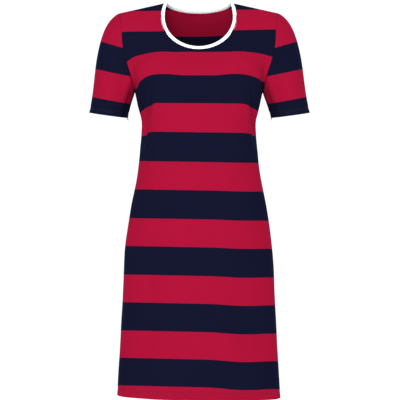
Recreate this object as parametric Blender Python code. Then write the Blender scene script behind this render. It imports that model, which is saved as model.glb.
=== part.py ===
# Striped jersey nightshirt in its worn form: front, back, two sleeves and a neck binding.
# Metres, +Z up. The front faces -Y and the wearer's left is at +X.
# The origin lies midway between the shoulder seams' neck ends, where the shoulders carry it.

import math
from collections import namedtuple

import bmesh
import bpy
import numpy as np

FRONT = -1
BACK = 1

# Cloth
CLOTH = 0.0015
DOUBLED = 0.0027
SEAM_GAP = 0.0003

# Length of the shirt, and the depth of its turned-up edges
HEM = -0.9475
HEM_DEPTH = 0.020
CUFF_DEPTH = 0.016
STEP = 0.003

# Skirt's hang: how far it drops towards the wearer's left, as a share of the way out
HANG = 0.017

# Shoulder seam, from its neck end to its tip
NECK_END = (0.0840, 0.0100, -0.0038)
SHOULDER_TIP = (0.1910, 0.0040, -0.0285)
ARMPIT = (0.1532, 0.0, -0.2225)

# Neckline, where the binding is sewn to the panels
NECK_WIDEST = 0.0905
NECK_WIDEST_HEIGHT = -0.0400
FRONT_NECK_LOW = -0.1207
FRONT_NECK_REACH = 0.0950
FRONT_NECK_BEND = 0.80
BACK_NECK_LOW = -0.0245
BACK_NECK_REACH = 0.0540
BACK_NECK_BEND = 0.85
BACK_NECK_DIP = 1.20

# Neck binding
BINDING_WIDTH = 0.0105
BINDING_THICK = 0.0026
BINDING_PROUD = 0.0003

# Binding's way from the seam towards the neck: at the front, at the back and at the left side
LEAN_FRONT = (0.0, 0.62, 0.78)
LEAN_BACK = (0.0, -0.50, 0.87)
LEAN_SIDE = (-0.94, 0.0, 0.34)

# Binding's section: the share of its width from the seam, and of its thickness from inside
BINDING_SECTION = [(0.0, 0.25), (0.0, 0.80), (0.08, 1.0), (0.90, 1.0),
                   (1.0, 0.72), (1.0, 0.28), (0.90, 0.0), (0.08, 0.0)]

# Sleeve's cuff, an ellipse that leans outward
CUFF_CENTRE = (0.2195, 0.0, -0.2745)
CUFF_HALF_WIDTH = 0.0465
CUFF_HALF_DEPTH = 0.0600
CUFF_LEAN = 0.14
CUFF_RISE_BEHIND = 0.05
SLEEVE_HANDLE_TOP = 0.31
SLEEVE_HANDLE_CUFF = 0.33
SLEEVE_LEAVES_TOP = (0.86, 0.0, -0.51)
SLEEVE_LEAVES_BELOW = (0.34, 0.0, -0.94)
SLEEVE_AXIS = (0.27, 0.0, -0.963)

# Steps of the grids
NECK_COLUMNS = 18
SHOULDER_COLUMNS = 5
YOKE_ROWS = 12
SKIRT_ROWS = 21
SLEEVE_ROWS = 8

# Points along a curve before it is divided into steps
CURVE_POINTS = 241

# Share of a half panel that hangs below the neckline
NECK_SHARE = 0.60

# Columns at the sides are crowded forward at the armpits, over this drop
CROWDING = 0.52
CROWDING_DROP = 0.150

# Yoke: which way it leaves the shoulder seam, forward and upward, and the neckline, away
# from the neck, forward and upward; then how late across the panel its sides are pulled in
LEAVES_SEAM = (0.86, -0.50)
LEAVES_NECK = (0.32, 0.50, -0.60)
SIDE_PULL = 1.4

# Easing of the yoke's cloth between its edges
EASE_TURNS = 500
EASE_STEP = 0.03

# Seam edges whose faces turn less than this, as a cosine, run on from one panel to the next
RUNS_ON = 0.5

# Faces that meet at a greater angle than this keep a sharp edge
SHARP = math.radians(50)

# Colours and roughness
RED = (0.42, 0.012, 0.045)
WHITE = (0.86, 0.87, 0.90)
JERSEY_ROUGHNESS = 0.85
RIB_ROUGHNESS = 0.80

# Body tube from the armpits down: the height of each section, its half width, how far it
# reaches to the front and to the back, and how square those two faces are
Section = namedtuple("Section", "height half_width front back square_front square_back")
BODY = [
    Section(-0.2225, 0.1532, 0.1290, 0.1120, 2.7, 2.4),
    Section(-0.2480, 0.1475, 0.1320, 0.1110, 2.8, 2.4),
    Section(-0.2860, 0.1380, 0.1310, 0.1060, 2.6, 2.4),
    Section(-0.3450, 0.1405, 0.1260, 0.0970, 2.5, 2.4),
    Section(-0.4200, 0.1476, 0.1205, 0.0930, 2.4, 2.3),
    Section(-0.4970, 0.1630, 0.1180, 0.1050, 2.3, 2.3),
    Section(-0.5930, 0.1765, 0.1170, 0.1220, 2.3, 2.3),
    Section(-0.6900, 0.1820, 0.1200, 0.1290, 2.3, 2.3),
    Section(-0.8200, 0.1885, 0.1250, 0.1310, 2.3, 2.3),
    Section(HEM, 0.1960, 0.1310, 0.1350, 2.3, 2.3),
]

# Armhole from the shoulder tip to the armpit: the height, the distance from the middle, and
# how far its edge reaches to the front and to the back
Armhole = namedtuple("Armhole", "height half_width front back")
ARMHOLE = [
    Armhole(SHOULDER_TIP[2], SHOULDER_TIP[0], -SHOULDER_TIP[1], SHOULDER_TIP[1]),
    Armhole(-0.0530, 0.1860, 0.0230, 0.0290),
    Armhole(-0.0850, 0.1835, 0.0420, 0.0450),
    Armhole(-0.1170, 0.1805, 0.0520, 0.0545),
    Armhole(-0.1430, 0.1735, 0.0560, 0.0580),
    Armhole(-0.1690, 0.1655, 0.0560, 0.0575),
    Armhole(-0.1930, 0.1585, 0.0500, 0.0510),
    Armhole(-0.2110, 0.1545, 0.0330, 0.0340),
    Armhole(ARMPIT[2], ARMPIT[0], ARMPIT[1], ARMPIT[1]),
]

# Soft folds: which face, the share across a half panel, the half width as such a share,
# the heights where it starts and ends, and how far it is pushed in
Fold = namedtuple("Fold", "face across half_width top bottom depth")
FOLDS = [
    Fold(FRONT, -0.66, 0.17, -0.215, -0.400, 0.0070),
    Fold(FRONT, 0.69, 0.16, -0.215, -0.380, 0.0060),
    Fold(BACK, -0.62, 0.18, -0.230, -0.470, 0.0060),
    Fold(BACK, 0.60, 0.19, -0.225, -0.450, 0.0070),
    Fold(FRONT, -0.55, 0.22, -0.560, -1.150, 0.0045),
    Fold(FRONT, 0.60, 0.20, -0.520, -1.150, 0.0050),
    Fold(BACK, -0.30, 0.24, -0.540, -1.150, 0.0070),
    Fold(BACK, 0.36, 0.22, -0.560, -1.150, 0.0060),
]


def clear_scene():
    for thing in list(bpy.data.objects):
        bpy.data.objects.remove(thing)


def smooth_through(heights, values, height):
    """Cubic curve through the table's rows, with each row's slope from its neighbours."""
    xs = np.asarray(heights, float)
    ys = np.asarray(values, float)
    if xs[0] > xs[-1]:
        xs, ys = xs[::-1], ys[::-1]
    slopes = np.gradient(ys, xs)
    at = np.clip(np.asarray(height, float), xs[0], xs[-1])
    cell = np.clip(np.searchsorted(xs, at) - 1, 0, len(xs) - 2)
    span = xs[cell + 1] - xs[cell]
    t = (at - xs[cell]) / span
    return ((1 + 2 * t) * (1 - t) ** 2 * ys[cell] + t * (1 - t) ** 2 * span * slopes[cell]
            + t * t * (3 - 2 * t) * ys[cell + 1] - t * t * (1 - t) * span * slopes[cell + 1])


def column(table, field):
    return [getattr(row, field) for row in table]


def body_value(field, height):
    return smooth_through(column(BODY, "height"), column(BODY, field), height)


def ease(value):
    value = np.clip(value, 0.0, 1.0)
    return value * value * (3 - 2 * value)


def unit(vectors):
    vectors = np.asarray(vectors, float)
    return vectors / np.linalg.norm(vectors, axis=-1, keepdims=True)


def spread_evenly(points, shares):
    """Points at the given shares, 0 to 1, of the way along a polyline."""
    steps = np.linalg.norm(np.diff(points, axis=0), axis=1)
    way = np.concatenate([[0.0], np.cumsum(steps)])
    target = np.asarray(shares) * way[-1]
    return np.column_stack([np.interp(target, way, points[:, axis]) for axis in range(3)])


def panel_shares():
    """Columns of a panel from -1, at the wearer's right side, to 1, at the left."""
    neck = np.linspace(0, NECK_SHARE, NECK_COLUMNS // 2 + 1)
    side = np.linspace(NECK_SHARE, 1, SHOULDER_COLUMNS + 1)[1:]
    half = np.concatenate([neck, side])
    return np.concatenate([-half[:0:-1], half])


def crowded(shares, height):
    """Shares across a panel, moved forward at the armpits, where the armholes cut in."""
    side = np.clip((np.abs(shares) - NECK_SHARE) / (1 - NECK_SHARE), 0, 1)
    near_armpit = 1 - ease((ARMPIT[2] - height) / CROWDING_DROP)
    moved = 1 - (1 - side) ** (1 - CROWDING * near_armpit)
    return shares + np.sign(shares) * (moved - side) * (1 - NECK_SHARE)


def fold_depth(face, shares, height):
    """How far the soft folds push the cloth in at one height."""
    depth = np.zeros_like(shares)
    for fold in FOLDS:
        if fold.face != face or not fold.bottom < height < fold.top:
            continue
        along = (fold.top - height) / (fold.top - fold.bottom)
        across = np.clip(np.abs(shares - fold.across) / fold.half_width, 0, 1)
        depth += fold.depth * math.sin(math.pi * along) * np.cos(across * math.pi / 2) ** 2
    return depth


def body_row(face, height, shares):
    """Points across one face of the body tube, level with a height."""
    shares = crowded(shares, height)
    half_width = body_value("half_width", height)
    reach = body_value("front" if face == FRONT else "back", height)
    square = body_value("square_front" if face == FRONT else "square_back", height)
    turn = np.linspace(-math.pi / 2, math.pi / 2, CURVE_POINTS)
    x = half_width * np.sign(turn) * np.abs(np.sin(turn)) ** (2 / square)
    y = face * reach * np.abs(np.cos(turn)) ** (2 / square)
    row = spread_evenly(np.column_stack([x, y, np.full_like(x, height)]), (shares + 1) / 2)
    inward = unit(np.column_stack([-row[:, 0] / half_width ** 2, -row[:, 1] / reach ** 2,
                                   np.zeros(len(row))]))
    row += inward * fold_depth(face, shares, height)[:, None]
    row[:, 1] += face * SEAM_GAP / 2
    below_armpit = (ARMPIT[2] - height) / (ARMPIT[2] - HEM)
    row[:, 2] -= HANG * row[:, 0] * ease(below_armpit)
    return row


def front_neckline(shares):
    """Front neckline from the middle, share 0, up to the neck end, share 1."""
    end_turn = math.pi - math.asin(NECK_END[0] / NECK_WIDEST)
    turn = np.linspace(0, end_turn, CURVE_POINTS)
    below = NECK_WIDEST_HEIGHT - FRONT_NECK_LOW
    above = (NECK_END[2] - NECK_WIDEST_HEIGHT) / -math.cos(end_turn)
    x = NECK_WIDEST * np.sin(turn)
    z = NECK_WIDEST_HEIGHT - np.where(turn < math.pi / 2, below, above) * np.cos(turn)
    fall = (NECK_END[2] - z) / (NECK_END[2] - FRONT_NECK_LOW)
    y = NECK_END[1] - FRONT_NECK_REACH * np.clip(fall, 0, 1) ** FRONT_NECK_BEND
    return spread_evenly(np.column_stack([x, y, z]), shares)


def back_neckline(shares):
    """Back neckline from the middle, share 0, to the neck end, share 1."""
    turn = np.linspace(math.pi / 2, 0, CURVE_POINTS)
    x = NECK_END[0] * np.cos(turn)
    y = NECK_END[1] + BACK_NECK_REACH * np.sin(turn) ** BACK_NECK_BEND
    z = NECK_END[2] + (BACK_NECK_LOW - NECK_END[2]) * np.sin(turn) ** BACK_NECK_DIP
    return spread_evenly(np.column_stack([x, y, z]), shares)


def mirrored(half):
    """A half from the middle outward, with its mirror image before it."""
    other = half[:0:-1] * np.array([-1.0, 1.0, 1.0])
    return np.vstack([other, half])


def top_edge(face):
    """Shoulder seam, neckline and shoulder seam, from the right tip to the left one."""
    neckline = front_neckline if face == FRONT else back_neckline
    neck = neckline(np.linspace(0, 1, NECK_COLUMNS // 2 + 1))
    way = np.linspace(0, 1, SHOULDER_COLUMNS + 1)[1:, None]
    seam = np.array(NECK_END) * (1 - way) + np.array(SHOULDER_TIP) * way
    neck[-1] = NECK_END
    edge = mirrored(np.vstack([neck, seam]))
    edge[:, 1] += face * SEAM_GAP / 2
    return edge


def armhole_edge(face):
    """Armhole of the wearer's left side, from the shoulder tip down to the armpit."""
    rise = np.linspace(0, 1, len(ARMHOLE))
    steps = np.linspace(0, 1, CURVE_POINTS)
    reach = column(ARMHOLE, "front" if face == FRONT else "back")
    x = smooth_through(rise, column(ARMHOLE, "half_width"), steps)
    y = face * smooth_through(rise, reach, steps)
    z = smooth_through(rise, column(ARMHOLE, "height"), steps)
    edge = spread_evenly(np.column_stack([x, y, z]), np.linspace(0, 1, YOKE_ROWS + 1))
    edge[:, 1] += face * SEAM_GAP / 2
    return edge


def leaving_ways(face, shares):
    """How each column leaves the top edge: square to the neckline, forward off the seams."""
    _, lean, _ = neck_frame()
    count = NECK_COLUMNS + 1
    away = -lean[:count] if face == FRONT else -np.vstack([lean[0], lean[:count - 2:-1]])
    forward, upward = LEAVES_SEAM
    ways = np.tile([0.0, face * forward, upward], (len(shares), 1))
    aside, forward, upward = LEAVES_NECK
    first = SHOULDER_COLUMNS
    ways[first:first + count] = away * aside + np.array([0.0, face * forward, upward])
    return ways


def yoke_rows(face, shares):
    """Rows from the shoulders and neck down to the armpits."""
    top = top_edge(face)
    bottom = body_row(face, ARMPIT[2], shares)
    length = np.linalg.norm(bottom - top, axis=1)[:, None]
    leaves = leaving_ways(face, shares) * length
    arrives = np.array([0.0, 0.0, -1.0]) * length
    left = armhole_edge(face)
    right = left * np.array([-1.0, 1.0, 1.0])
    out = np.clip((np.abs(shares) - NECK_SHARE) / (1 - NECK_SHARE), 0, 1)[:, None]
    pull = out ** SIDE_PULL
    rows = []
    for step in range(YOKE_ROWS):
        t = step / YOKE_ROWS
        row = ((1 + 2 * t) * (1 - t) ** 2 * top + t * (1 - t) ** 2 * leaves
               + t * t * (3 - 2 * t) * bottom - t * t * (1 - t) * arrives)
        to_left = pull * (shares > 0)[:, None] * (left[step] - row[-1])
        to_right = pull * (shares < 0)[:, None] * (right[step] - row[0])
        rows.append(row + to_left + to_right)
    return rows


def skirt_heights():
    """Heights of the rows from the armpits to the hem, with a step where it is doubled."""
    hem_top = HEM + HEM_DEPTH
    heights = list(np.linspace(ARMPIT[2], hem_top + STEP, SKIRT_ROWS))
    return heights + [hem_top, HEM]


def panel_points(face):
    shares = panel_shares()
    rows = yoke_rows(face, shares)
    rows += [body_row(face, height, shares) for height in skirt_heights()]
    return np.array(rows)


def bend_of(grid):
    """How far each inner point lies from its neighbours' middle."""
    bend = np.zeros_like(grid)
    bend[1:-1, 1:-1] = (grid[2:, 1:-1] + grid[:-2, 1:-1] + grid[1:-1, 2:] + grid[1:-1, :-2]
                        - 4 * grid[1:-1, 1:-1])
    return bend


def ease_yokes(front, back):
    """Let both yokes bend evenly between their edges, and over the shoulder seams as one."""
    last = len(panel_shares()) - 1
    seam = np.r_[1:SHOULDER_COLUMNS, last - SHOULDER_COLUMNS + 1:last]
    for _ in range(EASE_TURNS):
        bends = [bend_of(front), bend_of(back)]
        over_seam = (front[1, seam] + back[1, seam] + front[0, seam - 1] + front[0, seam + 1]
                     - 4 * front[0, seam])
        for grid, bend in zip((front, back), bends):
            bend[0, seam] = over_seam
            grid[1:YOKE_ROWS, 1:-1] -= EASE_STEP * bend_of(bend)[1:YOKE_ROWS, 1:-1]


def grid_normals(points, ring=False):
    """Unit normals of a grid of points; with ring, its rows close on themselves."""
    down = np.gradient(points, axis=0)
    if ring:
        across = (np.roll(points, -1, axis=1) - np.roll(points, 1, axis=1)) / 2
    else:
        across = np.gradient(points, axis=1)
    return unit(np.cross(down, across))


def without_y(vectors):
    return unit(vectors * np.array([1.0, 0.0, 1.0]))


def neck_frame():
    """The neckline as a ring, with the binding's way towards the neck and its normals."""
    front = mirrored(front_neckline(np.linspace(0, 1, NECK_COLUMNS // 2 + 1)))
    back = mirrored(back_neckline(np.linspace(0, 1, NECK_COLUMNS // 2 + 1)))
    ring = np.vstack([front, back[-2:0:-1]])
    turn = np.linspace(-math.pi / 2, math.pi / 2, NECK_COLUMNS + 1)
    turn = np.concatenate([turn, math.pi / 2 + turn[1:-1] + math.pi / 2])
    along = unit(np.roll(ring, -1, axis=0) - np.roll(ring, 1, axis=0))
    to_front = np.clip(np.cos(turn), 0, 1)[:, None] ** 2
    to_back = np.clip(-np.cos(turn), 0, 1)[:, None] ** 2
    side = np.sin(turn)[:, None]
    to_side = np.hstack([side, side * 0, side ** 2]) * np.array(LEAN_SIDE)
    lean = to_front * np.array(LEAN_FRONT) + to_back * np.array(LEAN_BACK) + to_side
    lean = unit(lean - along * np.sum(lean * along, axis=1, keepdims=True))
    out = unit(np.cross(along, lean))
    return ring, lean, out


def face_outward(normals, points, centre_x=0.0):
    """Turn a grid's normals so that they point away from the middle of the tube."""
    away = points - np.array([centre_x, 0.0, 0.0])
    away[..., 2] = 0.0
    if np.sum(normals * away) < 0:
        return -normals
    return normals


def panel_normals(face, points):
    normals = face_outward(grid_normals(points), points)
    count = NECK_COLUMNS + 1
    first = SHOULDER_COLUMNS
    _, _, out = neck_frame()
    neck = out[:count]
    if face == BACK:
        neck = np.vstack([out[0], out[:count - 2:-1]])
    normals[0, first:first + count] = neck
    normals[0, :first + 1] = without_y(normals[0, :first + 1])
    normals[0, -first - 1:] = without_y(normals[0, -first - 1:])
    normals[YOKE_ROWS:, 0] = without_y(normals[YOKE_ROWS:, 0])
    normals[YOKE_ROWS:, -1] = without_y(normals[YOKE_ROWS:, -1])
    return normals


def armhole_ring():
    """The left armhole as a ring: down the front from the tip, then up the back."""
    front = armhole_edge(FRONT)
    back = armhole_edge(BACK)
    ring = np.vstack([front, back[-2:0:-1]])
    ring[0] = SHOULDER_TIP
    ring[YOKE_ROWS] = ARMPIT
    return ring


def sleeve_points():
    """Grid of the left sleeve: rings from the armhole to the cuff."""
    start = armhole_ring()
    steps = np.linalg.norm(np.roll(start, -1, axis=0) - start, axis=1)
    turn = np.concatenate([[0.0], np.cumsum(steps)[:-1]]) / steps.sum() * 2 * math.pi
    out = CUFF_HALF_WIDTH * np.cos(turn)
    ahead = -CUFF_HALF_DEPTH * np.sin(turn)
    end = np.array(CUFF_CENTRE) + np.column_stack([
        out, ahead, CUFF_LEAN * out + CUFF_RISE_BEHIND * ahead])
    length = np.linalg.norm(end - start, axis=1)[:, None]
    low = ((1 - np.cos(turn)) / 2)[:, None]
    leaves = unit(np.array(SLEEVE_LEAVES_TOP) * (1 - low) + np.array(SLEEVE_LEAVES_BELOW) * low)
    first = start + leaves * length * SLEEVE_HANDLE_TOP
    second = end - unit(SLEEVE_AXIS) * length * SLEEVE_HANDLE_CUFF
    cuff_share = 1 - CUFF_DEPTH / length
    step_share = 1 - (CUFF_DEPTH + STEP) / length
    ways = [step_share * row / SLEEVE_ROWS for row in range(SLEEVE_ROWS + 1)]
    ways += [cuff_share, np.ones_like(length)]
    return np.array([(1 - t) ** 3 * start + 3 * t * (1 - t) ** 2 * first
                     + 3 * t * t * (1 - t) * second + t ** 3 * end for t in ways])


def sleeve_normals(points):
    return face_outward(grid_normals(points, ring=True), points, CUFF_CENTRE[0])


def share_seam_normals(panels, sleeve):
    """Give both sides of the armhole seam one normal where their faces run on smoothly."""
    count = len(sleeve[0])
    for step in range(count):
        face = FRONT if step <= YOKE_ROWS else BACK
        row = step if face == FRONT else count - step
        own = panels[face][row, -1]
        if np.dot(own, sleeve[0, step]) < RUNS_ON:
            continue
        shared = unit(own + sleeve[0, step])
        sleeve[0, step] = shared
        for normals in panels.values() if step == 0 else [panels[face]]:
            normals[row, -1] = shared
            normals[row, 0] = shared * np.array([-1.0, 1.0, 1.0])


def set_apart(sleeve, outward, panels):
    """Move the sleeve's first ring off the armhole, square to the walls that meet there."""
    ring = sleeve[0].copy()
    count = len(ring)
    along = unit(np.roll(ring, -1, axis=0) - np.roll(ring, 1, axis=0))
    rows = [step if step <= YOKE_ROWS else count - step for step in range(count)]
    faces = [FRONT if step <= YOKE_ROWS else BACK for step in range(count)]
    own = np.array([panels[face][row, -1] for face, row in zip(faces, rows)])
    off_panel = unit(np.cross(own, along))
    into_sleeve = unit(np.cross(outward[0], along))
    sleeve[0] = ring + unit(off_panel + into_sleeve) * SEAM_GAP


def wall_depths(rows):
    """Wall of each row: single cloth, and doubled in the turned-up edge's two rows."""
    depths = np.full(rows, CLOTH)
    depths[-2:] = DOUBLED
    return depths[:, None, None]


def cloth_body(name, outer, inner, ring=False):
    """One closed wall between an outer and an inner grid of points."""
    shape = bmesh.new()
    rows, columns = outer.shape[:2]
    grids = [[[shape.verts.new(point) for point in row] for row in grid]
             for grid in (outer, inner)]
    cells = columns if ring else columns - 1
    for row in range(rows - 1):
        for cell in range(cells):
            after = (cell + 1) % columns
            for grid in grids:
                corners = [grid[row][cell], grid[row][after],
                           grid[row + 1][after], grid[row + 1][cell]]
                shape.faces.new(corners if grid is grids[0] else corners[::-1])
    rims = [[grid[0] for grid in grids], [grid[-1][::-1] for grid in grids]]
    if not ring:
        rims.append([[row[-1] for row in grid] for grid in grids])
        rims.append([[row[0] for row in grid][::-1] for grid in grids])
    for outer_line, inner_line in rims:
        pairs = list(zip(outer_line, inner_line))
        if ring:
            pairs.append(pairs[0])
        for (a, b), (c, d) in zip(pairs, pairs[1:]):
            split = ([a, b, d], [a, d, c]) if a.co.z > c.co.z else ([a, b, c], [b, d, c])
            for corners in split:
                shape.faces.new(corners)
    bmesh.ops.recalc_face_normals(shape, faces=shape.faces)
    if shape.calc_volume(signed=True) < 0:
        bmesh.ops.reverse_faces(shape, faces=shape.faces)
    add_object(name, shape, RED, JERSEY_ROUGHNESS)


def add_object(name, shape, colour, roughness):
    mesh = bpy.data.meshes.new(name)
    shape.to_mesh(mesh)
    shape.free()
    mesh.shade_smooth()
    mesh.set_sharp_from_angle(angle=SHARP)
    mesh.materials.append(plain_material(name, colour, roughness))
    piece = bpy.data.objects.new(name, mesh)
    garment.objects.link(piece)


def plain_material(name, colour, roughness):
    material = bpy.data.materials.new(name)
    material.use_nodes = True
    shader = material.node_tree.nodes["Principled BSDF"]
    shader.inputs["Base Color"].default_value = (*colour, 1.0)
    shader.inputs["Roughness"].default_value = roughness
    shader.inputs["Metallic"].default_value = 0.0
    return material


def binding_body():
    """Ring of rib round the neck: its section runs from the seam towards the neck."""
    ring, lean, out = neck_frame()
    shape = bmesh.new()
    loops = []
    for point, way, up in zip(ring, lean, out):
        loop = []
        for across, through in BINDING_SECTION:
            place = (point + way * (SEAM_GAP + across * BINDING_WIDTH)
                     + up * (BINDING_PROUD - (1 - through) * BINDING_THICK))
            loop.append(shape.verts.new(place))
        loops.append(loop)
    for loop, after in zip(loops, loops[1:] + loops[:1]):
        for step in range(len(loop)):
            near = (step + 1) % len(loop)
            shape.faces.new([loop[step], loop[near], after[near], after[step]])
    bmesh.ops.recalc_face_normals(shape, faces=shape.faces)
    if shape.calc_volume(signed=True) < 0:
        bmesh.ops.reverse_faces(shape, faces=shape.faces)
    add_object("neck_binding", shape, WHITE, RIB_ROUGHNESS)


clear_scene()
garment = bpy.data.collections.new("nightshirt")
bpy.context.scene.collection.children.link(garment)

panels = {face: panel_points(face) for face in (FRONT, BACK)}
ease_yokes(panels[FRONT], panels[BACK])
outward = {face: panel_normals(face, panels[face]) for face in (FRONT, BACK)}
sleeve = sleeve_points()
sleeve_outward = sleeve_normals(sleeve)
share_seam_normals(outward, sleeve_outward)
set_apart(sleeve, sleeve_outward, outward)

for face, name in ((FRONT, "front"), (BACK, "back")):
    inner = panels[face] - outward[face] * wall_depths(len(panels[face]))
    cloth_body(name, panels[face], inner)

sleeve_inner = sleeve - sleeve_outward * wall_depths(len(sleeve))
for side, name in ((1, "sleeve_left"), (-1, "sleeve_right")):
    place = np.array([side, 1.0, 1.0])
    cloth_body(name, sleeve * place, sleeve_inner * place, ring=True)

binding_body()
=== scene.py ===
# Striped jersey nightshirt in its worn form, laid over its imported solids.
# Metres, +Z up. The front faces -Y and the wearer's left is at +X.

import math
from collections import namedtuple
from functools import cache

import bmesh
import bpy
import numpy as np
from bpy.props import FloatProperty, FloatVectorProperty, PointerProperty
from bpy.types import Operator, Panel, PropertyGroup
from mathutils import Matrix, Vector


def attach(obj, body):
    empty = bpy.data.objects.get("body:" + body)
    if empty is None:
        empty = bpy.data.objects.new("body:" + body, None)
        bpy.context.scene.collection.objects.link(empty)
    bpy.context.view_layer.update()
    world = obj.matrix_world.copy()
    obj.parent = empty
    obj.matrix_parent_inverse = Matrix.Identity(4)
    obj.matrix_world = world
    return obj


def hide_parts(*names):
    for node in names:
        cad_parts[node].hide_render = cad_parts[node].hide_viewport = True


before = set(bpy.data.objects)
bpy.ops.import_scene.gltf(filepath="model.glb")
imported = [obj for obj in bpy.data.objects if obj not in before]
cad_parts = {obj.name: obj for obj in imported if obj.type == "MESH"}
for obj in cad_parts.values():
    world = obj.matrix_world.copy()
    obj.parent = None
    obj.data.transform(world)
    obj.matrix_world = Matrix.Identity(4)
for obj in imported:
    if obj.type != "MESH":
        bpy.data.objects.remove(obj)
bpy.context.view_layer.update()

bl_info = {
    "name": "Striped nightshirt",
    "version": (1, 0, 0),
    "blender": (4, 5, 0),
    "location": "3D View > Sidebar > Nightshirt",
    "description": "Dresses a nightshirt's solids in striped jersey, with seams and stitching",
    "category": "Object",
}


def rows_of(names, rows):
    """A table whose rows have named fields."""
    return list(map(namedtuple("Row", names)._make, rows))


FRONT = -1
BACK = 1
FACES = {FRONT: "front", BACK: "back"}
SIDES = ((1, "left"), (-1, "right"))
MIRROR = (-1.0, 1.0, 1.0)
ALLOWANCE = "{}_allowance_{}"

# The solids' own form, by the values that they are built from. First the hem's height, and
# how much lower it hangs for each metre towards the wearer's left.
HEM = -0.9475
HANG = 0.017

# Where the neckline ends, and the shoulder's tip and the armpit, at the wearer's left
NECK_END = (0.0840, 0.0100, -0.0038)
SHOULDER_TIP = (0.1910, 0.0040, -0.0285)
ARMPIT = (0.1532, 0.0, -0.2225)

# Neckline: its widest place, and how low, how far out and how bent it is in front and behind
NECK_WIDEST = 0.0905
NECK_WIDEST_HEIGHT = -0.0400
FRONT_NECK_LOW = -0.1207
FRONT_NECK_REACH = 0.0950
FRONT_NECK_BEND = 0.80
BACK_NECK_LOW = -0.0245
BACK_NECK_REACH = 0.0540
BACK_NECK_BEND = 0.85
BACK_NECK_DIP = 1.20

# Which way the binding leans off the neckline in front, behind and at the wearer's left
LEAN_FRONT = (0.0, 0.62, 0.78)
LEAN_BACK = (0.0, -0.50, 0.87)
LEAN_SIDE = (-0.94, 0.0, 0.34)

# Left sleeve: the cuff's middle, half sizes and tilt, and how the sleeve leaves the armhole
# and reaches the cuff
CUFF_CENTRE = (0.2195, 0.0, -0.2745)
CUFF_HALF_WIDTH = 0.0465
CUFF_HALF_DEPTH = 0.0600
CUFF_LEAN = 0.14
CUFF_RISE_BEHIND = 0.05
SLEEVE_HANDLE_TOP = 0.31
SLEEVE_HANDLE_CUFF = 0.33
SLEEVE_LEAVES_TOP = (0.86, 0.0, -0.51)
SLEEVE_LEAVES_BELOW = (0.34, 0.0, -0.94)
SLEEVE_AXIS = (0.27, 0.0, -0.963)

# A panel's columns and rows, the points of the curves that they are spread along, and the
# neck's share of half a panel
NECK_COLUMNS = 18
SHOULDER_COLUMNS = 5
YOKE_ROWS = 12
SKIRT_ROWS = 22
CURVE_POINTS = 241
NECK_SHARE = 0.60
HALF_NECK = np.linspace(0, 1, NECK_COLUMNS // 2 + 1)

# Yoke: how columns crowd towards the armpits, how they leave the shoulder seam and the
# neckline, how soon the armholes draw them in, and how the whole is evened out
CROWDING = 0.52
CROWDING_DROP = 0.150
LEAVES_SEAM = (0.86, -0.50)
LEAVES_NECK = (0.32, 0.50, -0.60)
SIDE_PULL = 1.4
EASE_TURNS = 500
EASE_STEP = 0.03

# Neck binding: the width that it is folded to, what shows of it, its thickness, how far it
# stands proud of the cloth, and the points round its section
BINDING_WIDTH = 0.0088
BINDING_THICK = 0.0026
BINDING_PROUD = 0.0003
BINDING_POINTS = 24

# The binding's section: how round its ends and its faces are, and how much its seam pinches
# it, and how far out
BINDING_END_ROUND = 0.62
BINDING_FACE_ROUND = 0.80
BINDING_PINCH = 0.35
BINDING_PINCH_REACH = 0.0018

# Each of the form's steps is divided into so many finer ones. Points so near to each other
# are one, and a plain grid's places are told apart by so many digits.
FINER_ACROSS = 6
FINER_DOWN = 6
SAME_POINT = 1e-6
GRID_DIGITS = 5

# Places in the finer grids: the armpit's row, and where the neckline starts and ends
ARMPIT_ROW = YOKE_ROWS * FINER_DOWN
NECK_FIRST = SHOULDER_COLUMNS * FINER_ACROSS
NECK_LAST = NECK_FIRST + NECK_COLUMNS * FINER_ACROSS

# Hems and cuffs have the finest steps: how many of the rows above end in the hem, how many
# it has itself, and the same for a sleeve's rings, by their share of its length
HEM_ROWS = 5
HEM_STEPS = 34
SLEEVE_STEPS = 60
CUFF_SHARE = 0.14
CUFF_STEPS = 34

# Body tube from the armpits down: the height of each section, its half width, how far it
# reaches to the front and to the back, and how square those two faces are
BODY = rows_of("height half_width front back square_front square_back", [
    (-0.2225, 0.1532, 0.1290, 0.1120, 2.7, 2.4),
    (-0.2480, 0.1475, 0.1320, 0.1110, 2.8, 2.4),
    (-0.2860, 0.1380, 0.1310, 0.1060, 2.6, 2.4),
    (-0.3450, 0.1405, 0.1260, 0.0970, 2.5, 2.4),
    (-0.4200, 0.1476, 0.1205, 0.0930, 2.4, 2.3),
    (-0.4970, 0.1630, 0.1180, 0.1050, 2.3, 2.3),
    (-0.5930, 0.1765, 0.1170, 0.1220, 2.3, 2.3),
    (-0.6900, 0.1820, 0.1200, 0.1290, 2.3, 2.3),
    (-0.8200, 0.1885, 0.1250, 0.1310, 2.3, 2.3),
    (HEM, 0.1960, 0.1310, 0.1350, 2.3, 2.3),
])

# Armhole from the shoulder tip to the armpit: the height, the distance from the middle, and
# how far its edge reaches to the front and to the back
ARMHOLE = rows_of("height half_width front back", [
    (SHOULDER_TIP[2], SHOULDER_TIP[0], -SHOULDER_TIP[1], SHOULDER_TIP[1]),
    (-0.0530, 0.1860, 0.0230, 0.0290),
    (-0.0850, 0.1835, 0.0420, 0.0450),
    (-0.1170, 0.1805, 0.0520, 0.0545),
    (-0.1430, 0.1735, 0.0560, 0.0580),
    (-0.1690, 0.1655, 0.0560, 0.0575),
    (-0.1930, 0.1585, 0.0500, 0.0510),
    (-0.2110, 0.1545, 0.0330, 0.0340),
    (ARMPIT[2], ARMPIT[0], ARMPIT[1], ARMPIT[1]),
])

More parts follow.
